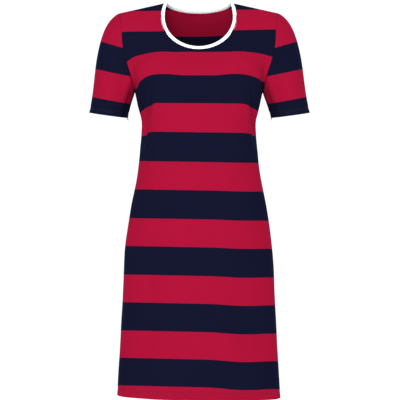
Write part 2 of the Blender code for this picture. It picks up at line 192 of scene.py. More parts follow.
# Soft folds: which face, the share across a half panel, the half width as such a share,
# the heights where it starts and ends, and how far it is pushed in
FOLDS = rows_of("face across half_width top bottom depth", [
    (FRONT, -0.66, 0.17, -0.215, -0.400, 0.0070),
    (FRONT, 0.69, 0.16, -0.215, -0.380, 0.0060),
    (BACK, -0.62, 0.18, -0.230, -0.470, 0.0060),
    (BACK, 0.60, 0.19, -0.225, -0.450, 0.0070),
    (FRONT, -0.55, 0.22, -0.560, -1.150, 0.0045),
    (FRONT, 0.60, 0.20, -0.520, -1.150, 0.0050),
    (BACK, -0.30, 0.24, -0.540, -1.150, 0.0070),
    (BACK, 0.36, 0.22, -0.560, -1.150, 0.0060),
])

# Creases laid on the cloth: which face, where each starts and ends (across and height), its
# half width, and how far it stands out (or, below zero, sinks in)
CREASES = rows_of("face from_x from_z to_x to_z half_width height", [
    (FRONT, -0.106, -0.200, -0.140, -0.372, 0.0100, -0.0090),
    (FRONT, -0.092, -0.205, -0.125, -0.365, 0.0090, 0.0022),
    (FRONT, 0.122, -0.202, 0.138, -0.362, 0.0100, -0.0090),
    (FRONT, 0.108, -0.210, 0.124, -0.350, 0.0090, 0.0020),
    (FRONT, -0.172, -0.192, -0.066, -0.118, 0.0220, 0.0028),
    (FRONT, -0.152, -0.208, -0.078, -0.158, 0.0150, -0.0018),
    (FRONT, 0.166, -0.188, 0.078, -0.128, 0.0210, 0.0020),
    (FRONT, 0.152, -0.204, 0.092, -0.166, 0.0150, -0.0016),
    (FRONT, -0.166, -0.130, -0.141, -0.248, 0.0100, -0.0040),
    (FRONT, 0.166, -0.136, 0.143, -0.246, 0.0095, -0.0036),
    (FRONT, -0.172, -0.120, -0.128, -0.150, 0.0120, 0.0010),
    (FRONT, 0.170, -0.112, 0.132, -0.145, 0.0120, 0.0009),
    (FRONT, -0.112, -0.540, -0.126, -1.010, 0.0260, -0.0030),
    (FRONT, -0.066, -0.600, -0.070, -1.010, 0.0300, 0.0026),
    (FRONT, 0.052, -0.480, 0.064, -1.000, 0.0300, 0.0024),
    (FRONT, 0.098, -0.500, 0.112, -1.020, 0.0300, -0.0036),
    (BACK, -0.142, -0.224, -0.108, -0.350, 0.0090, -0.0024),
    (BACK, -0.120, -0.240, -0.092, -0.352, 0.0110, 0.0013),
    (BACK, 0.140, -0.222, 0.112, -0.338, 0.0090, -0.0026),
    (BACK, 0.122, -0.236, 0.096, -0.344, 0.0110, 0.0014),
    (BACK, -0.162, -0.150, -0.104, -0.196, 0.0120, -0.0013),
    (BACK, 0.160, -0.156, 0.108, -0.190, 0.0120, -0.0012),
    (BACK, -0.070, -0.372, 0.020, -0.384, 0.0130, -0.0014),
    (BACK, -0.010, -0.410, 0.088, -0.398, 0.0140, -0.0013),
    (BACK, -0.074, -0.540, -0.094, -0.930, 0.0300, -0.0020),
    (BACK, 0.086, -0.560, 0.098, -0.920, 0.0280, -0.0018),
])

# Sleeve creases: how far round from the shoulder in turns, how far along from the armhole
# to the cuff, both from and to, then the half width and the height as above
SLEEVE_CREASES = rows_of("from_turn from_way to_turn to_way half_width height", [
    (0.36, 0.02, 0.27, 0.42, 0.0090, -0.0020),
    (0.43, -0.20, 0.40, 1.15, 0.0120, -0.0046),
    (0.37, -0.20, 0.34, 1.10, 0.0110, 0.0012),
    (0.12, 0.00, 0.10, 0.22, 0.0100, -0.0008),
    (0.62, 0.03, 0.70, 0.50, 0.0090, -0.0016),
    (0.88, 0.00, 0.90, 0.25, 0.0100, -0.0008),
])

# How bluntly creases end (the lower the blunter), and how near to a seam, and to a sleeve's
# armhole, creases and waves die down
CREASE_BLUNT = 0.7
SEAM_CALM = 0.012
ARMHOLE_CALM = 0.018

# A sleeve's creases and waves are laid in a plane as wide and as long as this, and its waves
# start so much further across
SLEEVE_TURN = 0.34
SLEEVE_WAY = 0.24
SLEEVE_WAVE_START = 2.0

# How far from its line a seam, and a row of stitches, draws the cloth in, and how far below
# the turned-up edge the upper row runs
SEAM_REACH = 0.0030
STITCH_REACH = 0.0013
STITCH_BELOW = 0.0020

# A stitch: its corners round and along, and half its length as a share of a step. Then, in
# thicknesses of the thread, how far it stands proud and half the thickness of loose ends.
STITCH_ROUND = 8
STITCH_ALONG = 6
STITCH_HALF = 0.40
STITCH_PROUD = 0.25
TAIL_HALF = 0.75

# Seam allowances: how far out each line of a strip lies as a share of its width, and how deep
# inside in thicknesses of the cloth. A side's strip starts so many steps below the armpit,
# and each strip lies as the cloth does so many steps beside its seam.
ALLOWANCE_LINES = [(0.0, 1.2), (0.25, 1.9), (0.65, 2.0), (1.0, 1.5)]
ALLOWANCE_START = 4
ALLOWANCE_BESIDE = 3

# Ends of thread at the cuffs: how far each bend lies aside, ahead and down from the seam's end
TAIL_ENDS = [
    [(-0.0006, -0.0004, 0.0010), (-0.0012, -0.0010, -0.0030), (-0.0020, -0.0006, -0.0062)],
    [(0.0004, 0.0004, 0.0010), (0.0010, -0.0002, -0.0024), (0.0008, 0.0006, -0.0048)],
]

# Eye of the camera: its height and its distance from the middle of the shirt
EYE_HEIGHT = -0.4776
EYE_DISTANCE = 5.0

# Camera: its sensor, how wide it sees at the middle of the shirt, and its sideways shift
SENSOR_WIDTH = 36.0
VIEW_WIDTH = 0.96
CAMERA_SHIFT = 0.003

# Floor and soft lights: each light's place and size, the setting that holds its power, and
# how much of that it has
FLOOR_RADIUS = 40.0
FLOOR_CORNERS = 96
LIGHTS = rows_of("name place size setting share", [
    ("front_light", (-0.5, -4.0, 1.1), 2.0, "front_power", 1.0),
    ("right_light", (-2.6, -0.6, 0.2), 1.8, "right_power", 1.0),
    ("left_light", (2.6, -0.4, 0.2), 1.8, "left_power", 1.0),
    ("back_light", (0.4, 4.2, 1.2), 2.4, "front_power", 0.5),
])

# Lines between the stripes down the middle of the front, as seen from the eye. Above the
# first line the cloth is navy, and the colours alternate from there down.
STRIPE_LINES = [-0.0224, -0.0711, -0.1223, -0.1783, -0.2456, -0.3151, -0.3865, -0.4545,
                -0.5242, -0.5911, -0.6601, -0.7267, -0.7947, -0.8604, -0.9274]

# The back's first line lies so much higher
BACK_FIRST_RISE = 0.0100

# How the lines run, by height: their drop towards the wearer's left as a slope, how far they
# droop at the wearer's right and left edges, how far in from the edge that starts, how far
# out the edge lies, how far they sag over the fold in the left half of the skirt, and how
# far they rise at both sides of the chest
LINE_RUNS = rows_of("height slope right left reach edge sag lift", [
    (0.0000, -0.0140, 0.0000, 0.0000, 0.0600, 0.1880, 0.0000, 0.0000),
    (-0.0704, -0.0140, 0.0000, 0.0000, 0.0600, 0.1880, 0.0000, 0.0000),
    (-0.1203, -0.0070, 0.0170, 0.0120, 0.0950, 0.1820, 0.0000, 0.0000),
    (-0.1776, 0.0000, 0.0300, 0.0150, 0.0540, 0.1610, 0.0000, 0.0036),
    (-0.2436, 0.0060, 0.0335, 0.0225, 0.0520, 0.1476, 0.0000, 0.0000),
    (-0.3144, 0.0138, 0.0165, 0.0090, 0.0360, 0.1410, 0.0000, 0.0000),
    (-0.3845, 0.0150, 0.0000, 0.0000, 0.0360, 0.1450, 0.0006, 0.0000),
    (-0.4538, 0.0158, 0.0000, 0.0000, 0.0360, 0.1550, 0.0010, 0.0000),
    (-0.5904, 0.0185, 0.0000, 0.0000, 0.0360, 0.1750, 0.0018, 0.0000),
    (-0.7927, 0.0213, 0.0000, 0.0000, 0.0360, 0.1880, 0.0034, 0.0000),
    (-1.0000, 0.0260, 0.0000, 0.0000, 0.0360, 0.1980, 0.0048, 0.0000),
])

# Where across the shirt the lines sag and rise, and how far to each side
SAG_CENTRE = 0.105
SAG_HALF_WIDTH = 0.085
LIFT_CENTRE = 0.087
LIFT_HALF_WIDTH = 0.056

# Sleeve's first line above the cuff, the height of its stripes, how far its lines drop
# towards the body for each stripe up, where its top ends in stripes, and how much nearer to
# the body the right cuff hangs
SLEEVE_LINE = 0.0370
SLEEVE_STRIPE = 0.0658
SLEEVE_TILT = 0.0020
SLEEVE_TOP = 3.98
RIGHT_CUFF_IN = 0.0034

# Slow unevenness of worn cloth: waves across and down in turns per metre, their start in
# turns, and their share of its depth
WAVES = rows_of("across down start share", [
    (6.3, 2.1, 0.13, 0.30),
    (-4.1, 5.2, 0.41, 0.26),
    (11.7, -3.4, 0.77, 0.18),
    (7.9, 9.1, 0.29, 0.14),
    (-14.3, 8.2, 0.58, 0.12),
])

# Jersey: how much of its relief are its loops and its columns of loops, how far a loop leans
# in heights of a loop, and the painted shade in its hollows, as a share of the yarn's colour
LOOP_RELIEF = 0.55
WALE_RELIEF = 0.45
LOOP_LEAN = 0.5
HOLLOW_PAINTED_SHADE = 0.80

# Worn jersey: the share of each colour and what is added to it, and how much of the wear is
# in patches and how much in its fuzz
WORN_RED = (0.90, 0.0)
WORN_NAVY = (1.25, 0.0015)
PATCH_WEAR = 0.6
FUZZ_WEAR = 0.4

# Rib: how much of its relief are the ribs and the loops along them, and the painted shade
# between the ribs
RIB_RELIEF = 0.75
RIB_LOOP_RELIEF = 0.25
RIB_PAINTED_SHADE = 0.80

# Threads: their share of their cloth's colour, and the painted shade between their plies
RED_THREAD = 0.4
NAVY_THREAD = 1.1
PLY_PAINTED_SHADE = 0.75

# Grain of each finish in turns per metre, and how fine the fuzz is
PATCH_SCALE = 9.0
FUZZ_SCALE = 900.0
FUZZ_DETAIL = 4.0
PLY_SCALE = 1400.0
FLOOR_SCALE = 3.0

# Kinds of setting
LENGTH = {"subtype": "DISTANCE", "unit": "LENGTH"}
COLOUR = {"size": 3, "min": 0.0, "max": 1.0, "subtype": "COLOR"}
POWER = {"min": 0.0, "max": 2000.0, "unit": "POWER"}


class NightshirtCloth(PropertyGroup):
    """Jersey and the way it is made up."""

    wall: FloatProperty(
        name="Wall", description="Thickness of the jersey",
        default=0.0010, min=0.0003, max=0.003, **LENGTH)
    hem_depth: FloatProperty(
        name="Hem depth", description="Depth of the turned-up hem",
        default=0.020, min=0.005, max=0.05, **LENGTH)
    cuff_depth: FloatProperty(
        name="Cuff depth", description="Depth of the turned-up cuffs",
        default=0.016, min=0.005, max=0.05, **LENGTH)
    seam_sink: FloatProperty(
        name="Seam sink", description="How far a seam pulls the cloth in",
        default=0.0011, min=0.0, max=0.003, **LENGTH)
    unevenness: FloatProperty(
        name="Unevenness", description="Depth of the cloth's slow waves",
        default=0.0011, min=0.0, max=0.005, **LENGTH)


class NightshirtColours(PropertyGroup):
    """Colours and yarn of the cloths and threads."""

    red: FloatVectorProperty(
        name="Red", description="Red stripes", default=(0.275, 0.0045, 0.0257), **COLOUR)
    navy: FloatVectorProperty(
        name="Navy", description="Navy stripes", default=(0.0033, 0.0040, 0.0141), **COLOUR)
    white: FloatVectorProperty(
        name="White", description="Rib of the neck binding", default=(0.84, 0.85, 0.87),
        **COLOUR)
    stripe: FloatProperty(
        name="Stripe", description="Height of a stripe in the flat cloth",
        default=0.0660, min=0.01, max=0.3, **LENGTH)
    wale: FloatProperty(
        name="Wale", description="Width of a column of knitted loops",
        default=0.0010, min=0.0003, max=0.005, **LENGTH)
    course: FloatProperty(
        name="Course", description="Height of a row of knitted loops",
        default=0.0008, min=0.0003, max=0.005, **LENGTH)
    rib: FloatProperty(
        name="Rib", description="Width of one rib of the neck binding",
        default=0.0015, min=0.0005, max=0.01, **LENGTH)


class NightshirtSewing(PropertyGroup):
    """Threads and seam allowances."""

    stitch: FloatProperty(
        name="Stitch", description="Length from one stitch to the next",
        default=0.0034, min=0.001, max=0.01, **LENGTH)
    thread: FloatProperty(
        name="Thread", description="Thickness of the thread",
        default=0.00060, min=0.0001, max=0.002, **LENGTH)
    needle_gap: FloatProperty(
        name="Needle gap", description="Distance between the two rows of stitches",
        default=0.0048, min=0.001, max=0.01, **LENGTH)
    stitch_sink: FloatProperty(
        name="Stitch sink", description="How far the rows of stitches draw the cloth in",
        default=0.0010, min=0.0, max=0.003, **LENGTH)
    allowance: FloatProperty(
        name="Allowance", description="Width of the seam allowances inside",
        default=0.0065, min=0.002, max=0.02, **LENGTH)


class NightshirtStudio(PropertyGroup):
    """Lights and floor."""

    surround: FloatProperty(
        name="Surround", description="Brightness of the white surround",
        default=1.08, min=0.0, max=5.0)
    front_power: FloatProperty(
        name="Front light", description="Power of the large soft light in front",
        default=140.0, **POWER)
    right_power: FloatProperty(
        name="Side light at the wearer's right", description="Power of that soft light",
        default=6.0, **POWER)
    left_power: FloatProperty(
        name="Side light at the wearer's left", description="Power of that soft light",
        default=10.0, **POWER)
    floor_height: FloatProperty(
        name="Floor height", description="Height of the floor, below the shirt's hem",
        default=-1.40, min=-3.0, max=-0.95, **LENGTH)


class Value:
    """A shader's number, whose sums and products add Math nodes."""

    def __init__(self, shader, socket):
        self.shader = shader
        self.socket = socket

    def __add__(self, other):
        return self.shader.maths("ADD", self, other)

    def __sub__(self, other):
        return self.shader.maths("SUBTRACT", self, other)

    def __rsub__(self, other):
        return self.shader.maths("SUBTRACT", other, self)

    def __mul__(self, other):
        return self.shader.maths("MULTIPLY", self, other)

    def __truediv__(self, other):
        return self.shader.maths("DIVIDE", self, other)

    def __rtruediv__(self, other):
        return self.shader.maths("DIVIDE", other, self)

    def __abs__(self):
        return self.shader.maths("ABSOLUTE", self)

    def __lt__(self, other):
        return self.shader.maths("LESS_THAN", self, other)

    def __gt__(self, other):
        return self.shader.maths("GREATER_THAN", self, other)

    __radd__ = __add__
    __rmul__ = __mul__


class Shader:
    """A material's nodes."""

    def __init__(self, name):
        self.material = bpy.data.materials.new(name)
        self.material.use_nodes = True
        self.nodes = self.material.node_tree.nodes
        self.links = self.material.node_tree.links
        self.surface = self.nodes["Principled BSDF"]

    def set(self, node, sockets):
        """Give a node's sockets their values or their links."""
        for name, value in sockets.items():
            if isinstance(value, Value):
                self.links.new(value.socket, node.inputs[name])
            else:
                node.inputs[name].default_value = value

    def node(self, kind, settings, sockets, output=0):
        """Add a node with its settings made first, and return one of its outputs."""
        node = self.nodes.new("ShaderNode" + kind)
        for name, value in settings.items():
            setattr(node, name, value)
        self.set(node, sockets)
        return Value(self, node.outputs[output])

    def maths(self, operation, *values):
        """Add a Math node that works on numbers and values."""
        return self.node("Math", {"operation": operation}, dict(enumerate(values)))

    def mix(self, share, first, second, blend="MIX"):
        """Add a Mix node that lays the second colour over the first by a share."""
        return self.node("Mix", {"data_type": "RGBA", "blend_type": blend},
                         {0: share, 6: first, 7: second}, 2)

    def noise(self, scale, detail=2.0):
        """Add noise that is fixed to the piece."""
        place = self.node("TexCoord", {}, {}, "Object")
        return self.node("TexNoise", {}, {"Vector": place, "Scale": scale, "Detail": detail})

    def wave(self, turns):
        """A soft wave from 0 to 1, by its turns."""
        return self.maths("SINE", turns * math.tau) * 0.5 + 0.5

    def flat_places(self):
        """How far across and how far along the flat cloth a point lies."""
        flat = self.node("UVMap", {"uv_map": "cloth"}, {})
        return [self.node("SeparateXYZ", {}, {0: flat}, axis) for axis in (0, 1)]


def tint(colour, share=1.0, added=0.0):
    """A colour's share with something added, as a socket takes it."""
    return (*[part * share + added for part in colour], 1.0)


def unit(vectors):
    """Vectors made 1 long."""
    vectors = np.asarray(vectors, float)
    return vectors / np.linalg.norm(vectors, axis=-1, keepdims=True)


def ease(value):
    """A soft step from 0 to 1."""
    value = np.clip(value, 0.0, 1.0)
    return value * value * (3 - 2 * value)


def hump(off):
    """A soft hump: 1 in its middle, and 0 from one half width off."""
    return np.cos(np.clip(np.abs(off), 0, 1) * math.pi / 2) ** 2


def bent(t, start, leaves, end, arrives):
    """Where a curve is at t, 0 to 1, by its two ends and how it leaves and arrives."""
    return ((1 + 2 * t) * (1 - t) ** 2 * start + t * (1 - t) ** 2 * leaves
            + t * t * (3 - 2 * t) * end - t * t * (1 - t) * arrives)


def column(table, field):
    """One field of all of a table's rows."""
    return [getattr(row, field) for row in table]


def smooth_through(heights, values, height):
    """Curve through the table's rows, with each row's slope from its neighbours."""
    xs = np.asarray(heights, float)
    ys = np.asarray(values, float)
    if xs[0] > xs[-1]:
        xs, ys = xs[::-1], ys[::-1]
    slopes = np.gradient(ys, xs)
    at = np.clip(np.asarray(height, float), xs[0], xs[-1])
    cell = np.clip(np.searchsorted(xs, at) - 1, 0, len(xs) - 2)
    span = xs[cell + 1] - xs[cell]
    return bent((at - xs[cell]) / span, ys[cell], span * slopes[cell],
                ys[cell + 1], span * slopes[cell + 1])


def body_value(field, height):
    """One measure of the body tube at a height."""
    return smooth_through(column(BODY, "height"), column(BODY, field), height)


def run_of(points):
    """How far each point of each row lies along its row."""
    steps = np.linalg.norm(np.diff(points, axis=1), axis=2)
    return np.hstack([np.zeros((len(points), 1)), np.cumsum(steps, axis=1)])


def run_down(points):
    """How far each point of each column lies down its column."""
    return run_of(points.transpose(1, 0, 2)).T


def closed_up(grid):
    """A tube's grid with its first column again at its end."""
    return np.concatenate([grid, grid[:, :1]], axis=1)


def spread_evenly(points, shares):
    """Points at the given shares, 0 to 1, of the way along a polyline."""
    way = run_of(points[None])[0]
    target = np.asarray(shares) * way[-1]
    return np.column_stack([np.interp(target, way, points[:, axis]) for axis in range(3)])


def panel_shares():
    """Columns of a panel from -1, at the wearer's right side, to 1, at the left."""
    side = np.linspace(NECK_SHARE, 1, SHOULDER_COLUMNS + 1)[1:]
    half = np.concatenate([NECK_SHARE * HALF_NECK, side])
    return np.concatenate([-half[:0:-1], half])


def beside_neck(shares):
    """How far each column lies from the neck's end, 0, to the side, 1."""
    return np.clip((np.abs(shares) - NECK_SHARE) / (1 - NECK_SHARE), 0, 1)


def crowded(shares, height):
    """Shares across a panel, moved forward at the armpits, where the armholes cut in."""
    side = beside_neck(shares)
    near_armpit = 1 - ease((ARMPIT[2] - height) / CROWDING_DROP)
    moved = 1 - (1 - side) ** (1 - CROWDING * near_armpit)
    return shares + np.sign(shares) * (moved - side) * (1 - NECK_SHARE)


def fold_depth(face, shares, height):
    """How far the soft folds push the cloth in at one height."""
    depth = np.zeros_like(shares)
    for fold in FOLDS:
        if fold.face != face or not fold.bottom < height < fold.top:
            continue
        along = (fold.top - height) / (fold.top - fold.bottom)
        across = hump((shares - fold.across) / fold.half_width)
        depth += fold.depth * math.sin(math.pi * along) * across
    return depth


def body_row(face, height, shares):
    """Points across one face of the body tube, level with a height."""
    shares = crowded(shares, height)
    half_width = body_value("half_width", height)
    reach = body_value(FACES[face], height)
    square = body_value("square_" + FACES[face], height)
    turn = np.linspace(-math.pi / 2, math.pi / 2, CURVE_POINTS)
    x = half_width * np.sign(turn) * np.abs(np.sin(turn)) ** (2 / square)
    y = face * reach * np.abs(np.cos(turn)) ** (2 / square)
    row = spread_evenly(np.column_stack([x, y, np.full_like(x, height)]), (shares + 1) / 2)
    inward = unit(np.column_stack([-row[:, 0] / half_width ** 2, -row[:, 1] / reach ** 2,
                                   np.zeros(len(row))]))
    row += inward * fold_depth(face, shares, height)[:, None]
    below_armpit = (ARMPIT[2] - height) / (ARMPIT[2] - HEM)
    row[:, 2] -= HANG * row[:, 0] * ease(below_armpit)
    return row


def front_neckline(shares):
    """Front neckline from the middle, share 0, up to the neck end, share 1."""
    end_turn = math.pi - math.asin(NECK_END[0] / NECK_WIDEST)
    turn = np.linspace(0, end_turn, CURVE_POINTS)
    below = NECK_WIDEST_HEIGHT - FRONT_NECK_LOW
    above = (NECK_END[2] - NECK_WIDEST_HEIGHT) / -math.cos(end_turn)
    x = NECK_WIDEST * np.sin(turn)
    z = NECK_WIDEST_HEIGHT - np.where(turn < math.pi / 2, below, above) * np.cos(turn)
    fall = (NECK_END[2] - z) / (NECK_END[2] - FRONT_NECK_LOW)
    y = NECK_END[1] - FRONT_NECK_REACH * np.clip(fall, 0, 1) ** FRONT_NECK_BEND
    return spread_evenly(np.column_stack([x, y, z]), shares)


def back_neckline(shares):
    """Back neckline from the middle, share 0, to the neck end, share 1."""
    turn = np.linspace(math.pi / 2, 0, CURVE_POINTS)
    x = NECK_END[0] * np.cos(turn)
    y = NECK_END[1] + BACK_NECK_REACH * np.sin(turn) ** BACK_NECK_BEND
    z = NECK_END[2] + (BACK_NECK_LOW - NECK_END[2]) * np.sin(turn) ** BACK_NECK_DIP
    return spread_evenly(np.column_stack([x, y, z]), shares)


def mirrored(half):
    """A half from the middle outward, with its mirror image before it."""
    return np.vstack([half[:0:-1] * MIRROR, half])


def top_edge(face):
    """Shoulder seam, neckline and shoulder seam, from the right tip to the left one."""
    neckline = front_neckline if face == FRONT else back_neckline
    neck = neckline(HALF_NECK)
    way = np.linspace(0, 1, SHOULDER_COLUMNS + 1)[1:, None]
    seam = (1 - way) * NECK_END + way * SHOULDER_TIP
    neck[-1] = NECK_END
    return mirrored(np.vstack([neck, seam]))


def armhole_edge(face):
    """Armhole of the wearer's left side, from the shoulder tip down to the armpit."""
    rise = np.linspace(0, 1, len(ARMHOLE))
    steps = np.linspace(0, 1, CURVE_POINTS)
    x = smooth_through(rise, column(ARMHOLE, "half_width"), steps)
    y = face * smooth_through(rise, column(ARMHOLE, FACES[face]), steps)
    z = smooth_through(rise, column(ARMHOLE, "height"), steps)
    return spread_evenly(np.column_stack([x, y, z]), np.linspace(0, 1, YOKE_ROWS + 1))


def binding_frame(ring):
    """The binding's way towards the neck and its normals, round a ring at the neckline."""
    half = len(ring) // 2
    turn = np.linspace(-math.pi / 2, math.pi / 2, half + 1)
    turn = np.concatenate([turn, turn[1:-1] + math.pi])
    along = unit(np.roll(ring, -1, axis=0) - np.roll(ring, 1, axis=0))
    to_front = np.clip(np.cos(turn), 0, 1)[:, None] ** 2
    to_back = np.clip(-np.cos(turn), 0, 1)[:, None] ** 2
    side = np.sin(turn)[:, None]
    to_side = np.hstack([side, side * 0, side ** 2]) * LEAN_SIDE
    lean = to_front * LEAN_FRONT + to_back * LEAN_BACK + to_side
    lean = unit(lean - along * np.sum(lean * along, axis=1, keepdims=True))
    return lean, unit(np.cross(along, lean))


def leaving_ways(face, shares):
    """How each column leaves the top edge: square to the neckline, forward off the seams."""
    front = mirrored(front_neckline(HALF_NECK))
    back = mirrored(back_neckline(HALF_NECK))
    lean, _ = binding_frame(np.vstack([front, back[-2:0:-1]]))
    count = NECK_COLUMNS + 1
    away = -lean[:count] if face == FRONT else -np.vstack([lean[0], lean[:count - 2:-1]])
    forward, upward = LEAVES_SEAM
    ways = np.tile([0.0, face * forward, upward], (len(shares), 1))
    aside, forward, upward = LEAVES_NECK
    first = SHOULDER_COLUMNS
    ways[first:first + count] = away * aside + np.array([0.0, face * forward, upward])
    return ways


def yoke_rows(face, shares):
    """Rows from the shoulders and neck down to the armpits."""
    top = top_edge(face)
    bottom = body_row(face, ARMPIT[2], shares)
    length = np.linalg.norm(bottom - top, axis=1)[:, None]
    leaves = leaving_ways(face, shares) * length
    arrives = np.array([0.0, 0.0, -1.0]) * length
    left = armhole_edge(face)
    right = left * MIRROR
    pull = beside_neck(shares)[:, None] ** SIDE_PULL
    rows = []
    for step in range(YOKE_ROWS):
        t = step / YOKE_ROWS
        row = bent(t, top, leaves, bottom, arrives)
        to_left = pull * (shares > 0)[:, None] * (left[step] - row[-1])
        to_right = pull * (shares < 0)[:, None] * (right[step] - row[0])
        rows.append(row + to_left + to_right)
    return rows


def panel_points(face):
    """A panel's coarse grid, from the shoulders and neck to the hem."""
    shares = panel_shares()
    heights = np.linspace(ARMPIT[2], HEM, SKIRT_ROWS + 1)
    return np.array(yoke_rows(face, shares)
                    + [body_row(face, height, shares) for height in heights])


def bend_of(grid):
    """How far each inner point lies from its neighbours' middle."""
    bend = np.zeros_like(grid)
    bend[1:-1, 1:-1] = (grid[2:, 1:-1] + grid[:-2, 1:-1] + grid[1:-1, 2:] + grid[1:-1, :-2]
                        - 4 * grid[1:-1, 1:-1])
    return bend


def ease_yokes(front, back):
    """Let both yokes bend evenly between their edges, and over the shoulder seams as one."""
    last = len(panel_shares()) - 1
    seam = np.r_[1:SHOULDER_COLUMNS, last - SHOULDER_COLUMNS + 1:last]
    for _ in range(EASE_TURNS):
        bends = [bend_of(front), bend_of(back)]
        over_seam = (front[1, seam] + back[1, seam] + front[0, seam - 1] + front[0, seam + 1]
                     - 4 * front[0, seam])
        for grid, bend in zip((front, back), bends):
            bend[0, seam] = over_seam
            grid[1:YOKE_ROWS, 1:-1] -= EASE_STEP * bend_of(bend)[1:YOKE_ROWS, 1:-1]


def refined(points, times, corners=()):
    """Lines of points made so many times finer, on curves smooth but at the corners."""
    slopes = np.gradient(points, axis=0)
    at = np.linspace(0, len(points) - 1, (len(points) - 1) * times + 1)
    cell = np.minimum(at.astype(int), len(points) - 2)
    t = (at - cell)[:, None, None]
    near, far = slopes[cell], slopes[cell + 1]
    for corner in corners:
        near[cell == corner] = points[corner + 1] - points[corner]
        far[cell == corner - 1] = points[corner] - points[corner - 1]
    return bent(t, points[cell], near, points[cell + 1], far)


def fine_panel(points):
    """A panel's grid made finer, its edges still meeting their neighbours' edges."""
    neck_ends = (SHOULDER_COLUMNS, SHOULDER_COLUMNS + NECK_COLUMNS)
    across = refined(points.transpose(1, 0, 2), FINER_ACROSS)
    top = refined(points[:1].transpose(1, 0, 2), FINER_ACROSS, neck_ends)
    across[:, :1] = top
    rows = across.transpose(1, 0, 2)
    fine = refined(rows, FINER_DOWN)
    for edge in (0, -1):
        side = refined(rows[:, [edge]], FINER_DOWN, (YOKE_ROWS,))
        fine[:, edge] = side[:, 0]
    above, below = fine[:-HEM_ROWS - 1], fine[-HEM_ROWS - 1:]
    at = np.linspace(0, HEM_ROWS, HEM_STEPS + 1)
    cell = np.minimum(at.astype(int), HEM_ROWS - 1)
    share = (at - cell)[:, None, None]
    return np.concatenate([above, below[cell] * (1 - share) + below[cell + 1] * share])


def grid_normals(points, ring=False):
    """Unit normals of a grid of points, pointing away from the tube's middle."""
    down = np.gradient(points, axis=0)
    if ring:
        across = (np.roll(points, -1, axis=1) - np.roll(points, 1, axis=1)) / 2
    else:
        across = np.gradient(points, axis=1)
    normals = unit(np.cross(down, across))
    away = points - np.array([CUFF_CENTRE[0] if ring else 0.0, 0.0, 0.0])
    away[..., 2] = 0.0
    return -normals if np.sum(normals * away) < 0 else normals


def crease_height(x, z, creases):
    """Height of the creases over a plane of places."""
    height = np.zeros_like(x)
    for from_x, from_z, to_x, to_z, half_width, top in creases:
        way = np.array([to_x - from_x, to_z - from_z])
        length = np.hypot(*way)
        along = ((x - from_x) * way[0] + (z - from_z) * way[1]) / length ** 2
        off = ((x - from_x) * way[1] - (z - from_z) * way[0]) / length
        ends = np.sin(math.pi * np.clip(along, 0, 1)) ** CREASE_BLUNT
        height += top * ends * hump(off / half_width)
    return height


def unevenness(across, down):
    """Slow waves of the cloth, from about -1 to 1."""
    return sum(wave.share * np.sin(math.tau * (wave.across * across + wave.down * down
                                               + wave.start)) for wave in WAVES)


def stripe_way(points, face=FRONT):
    """How far down the striped cloth each point of a panel lies, in stripes."""
    seen = EYE_DISTANCE / (EYE_DISTANCE - np.abs(points[..., 1]))
    x = points[..., 0] * seen
    z = EYE_HEIGHT + (points[..., 2] - EYE_HEIGHT) * seen
    heights = column(LINE_RUNS, "height")

    def run(field):
        return smooth_through(heights, column(LINE_RUNS, field), z)

    inside = np.clip((run("edge") - np.abs(x)) / run("reach"), 0, 1)
    droop = np.where(x < 0, run("right"), run("left")) * (1 - inside) ** 2
    sag = run("sag") * hump((x - SAG_CENTRE) / SAG_HALF_WIDTH)
    lift = run("lift") * hump((np.abs(x) - LIFT_CENTRE) / LIFT_HALF_WIDTH)
    level = z + run("slope") * x + droop + sag - lift
    lines = np.array(STRIPE_LINES)
    lines[0] += BACK_FIRST_RISE if face == BACK else 0.0
    steps = np.arange(1, len(lines) + 1)
    way = np.interp(-level, -lines, steps)
    way = np.where(level > lines[0], 1 - (level - lines[0]) / (lines[0] - lines[1]), way)
    last = lines[-2] - lines[-1]
    return np.where(level < lines[-1], steps[-1] + (lines[-1] - level) / last, way)


def grid_mesh(name, points, places, outward, ring=False, tube=False):
    """A sheet from a grid of points and their places in the flat cloth."""
    if ring:
        points, outward = closed_up(points), closed_up(outward)
    if tube:
        points = np.concatenate([points, points[:1]])
        outward = np.concatenate([outward, outward[:1]])
    down, across = points.shape[0] - 1, points.shape[1] - 1
    sheet = bmesh.new()
    bmesh.ops.create_grid(sheet, x_segments=across, y_segments=down, size=1.0)
    corners = sorted(sheet.verts, key=lambda vertex: (-round(vertex.co.y, GRID_DIGITS),
                                                      round(vertex.co.x, GRID_DIGITS)))
    layer = sheet.loops.layers.uv.new("cloth")
    flat = {}
    for vertex, point, place in zip(corners, points.reshape(-1, 3), places.reshape(-1, 2)):
        vertex.co = point
        flat[vertex] = place
    for face in sheet.faces:
        for loop in face.loops:
            loop[layer].uv = flat[loop.vert]
    sheet.normal_update()
    facing = sum(v.normal.dot(Vector(n)) for v, n in zip(corners, outward.reshape(-1, 3)))
    if facing < 0:
        bmesh.ops.reverse_faces(sheet, faces=sheet.faces)
    if ring or tube:
        bmesh.ops.remove_doubles(sheet, verts=sheet.verts, dist=SAME_POINT)
    return new_piece(name, sheet)


def new_piece(name, shape):
    """A piece at the origin, from its finished shape."""
    mesh = bpy.data.meshes.new(name)
    shape.to_mesh(mesh)
    shape.free()
    mesh.shade_smooth()
    piece = bpy.data.objects.new(name, mesh)
    bpy.context.scene.collection.objects.link(piece)
    return piece


def dress(piece, finish, slot, *nodes):
    """Give a piece its finish, and carry it on the shirt's one body in place of its solids."""
    piece.data.materials.append(finish)
    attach(piece, "root")
    if nodes:
        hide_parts(*nodes)


def solidify(piece, thickness, group=""):
    """Give a sheet its thickness, inwards from where it lies."""
    solid = piece.modifiers.new("wall", "SOLIDIFY")
    solid.thickness = thickness
    solid.offset = -1.0
    solid.vertex_group = group


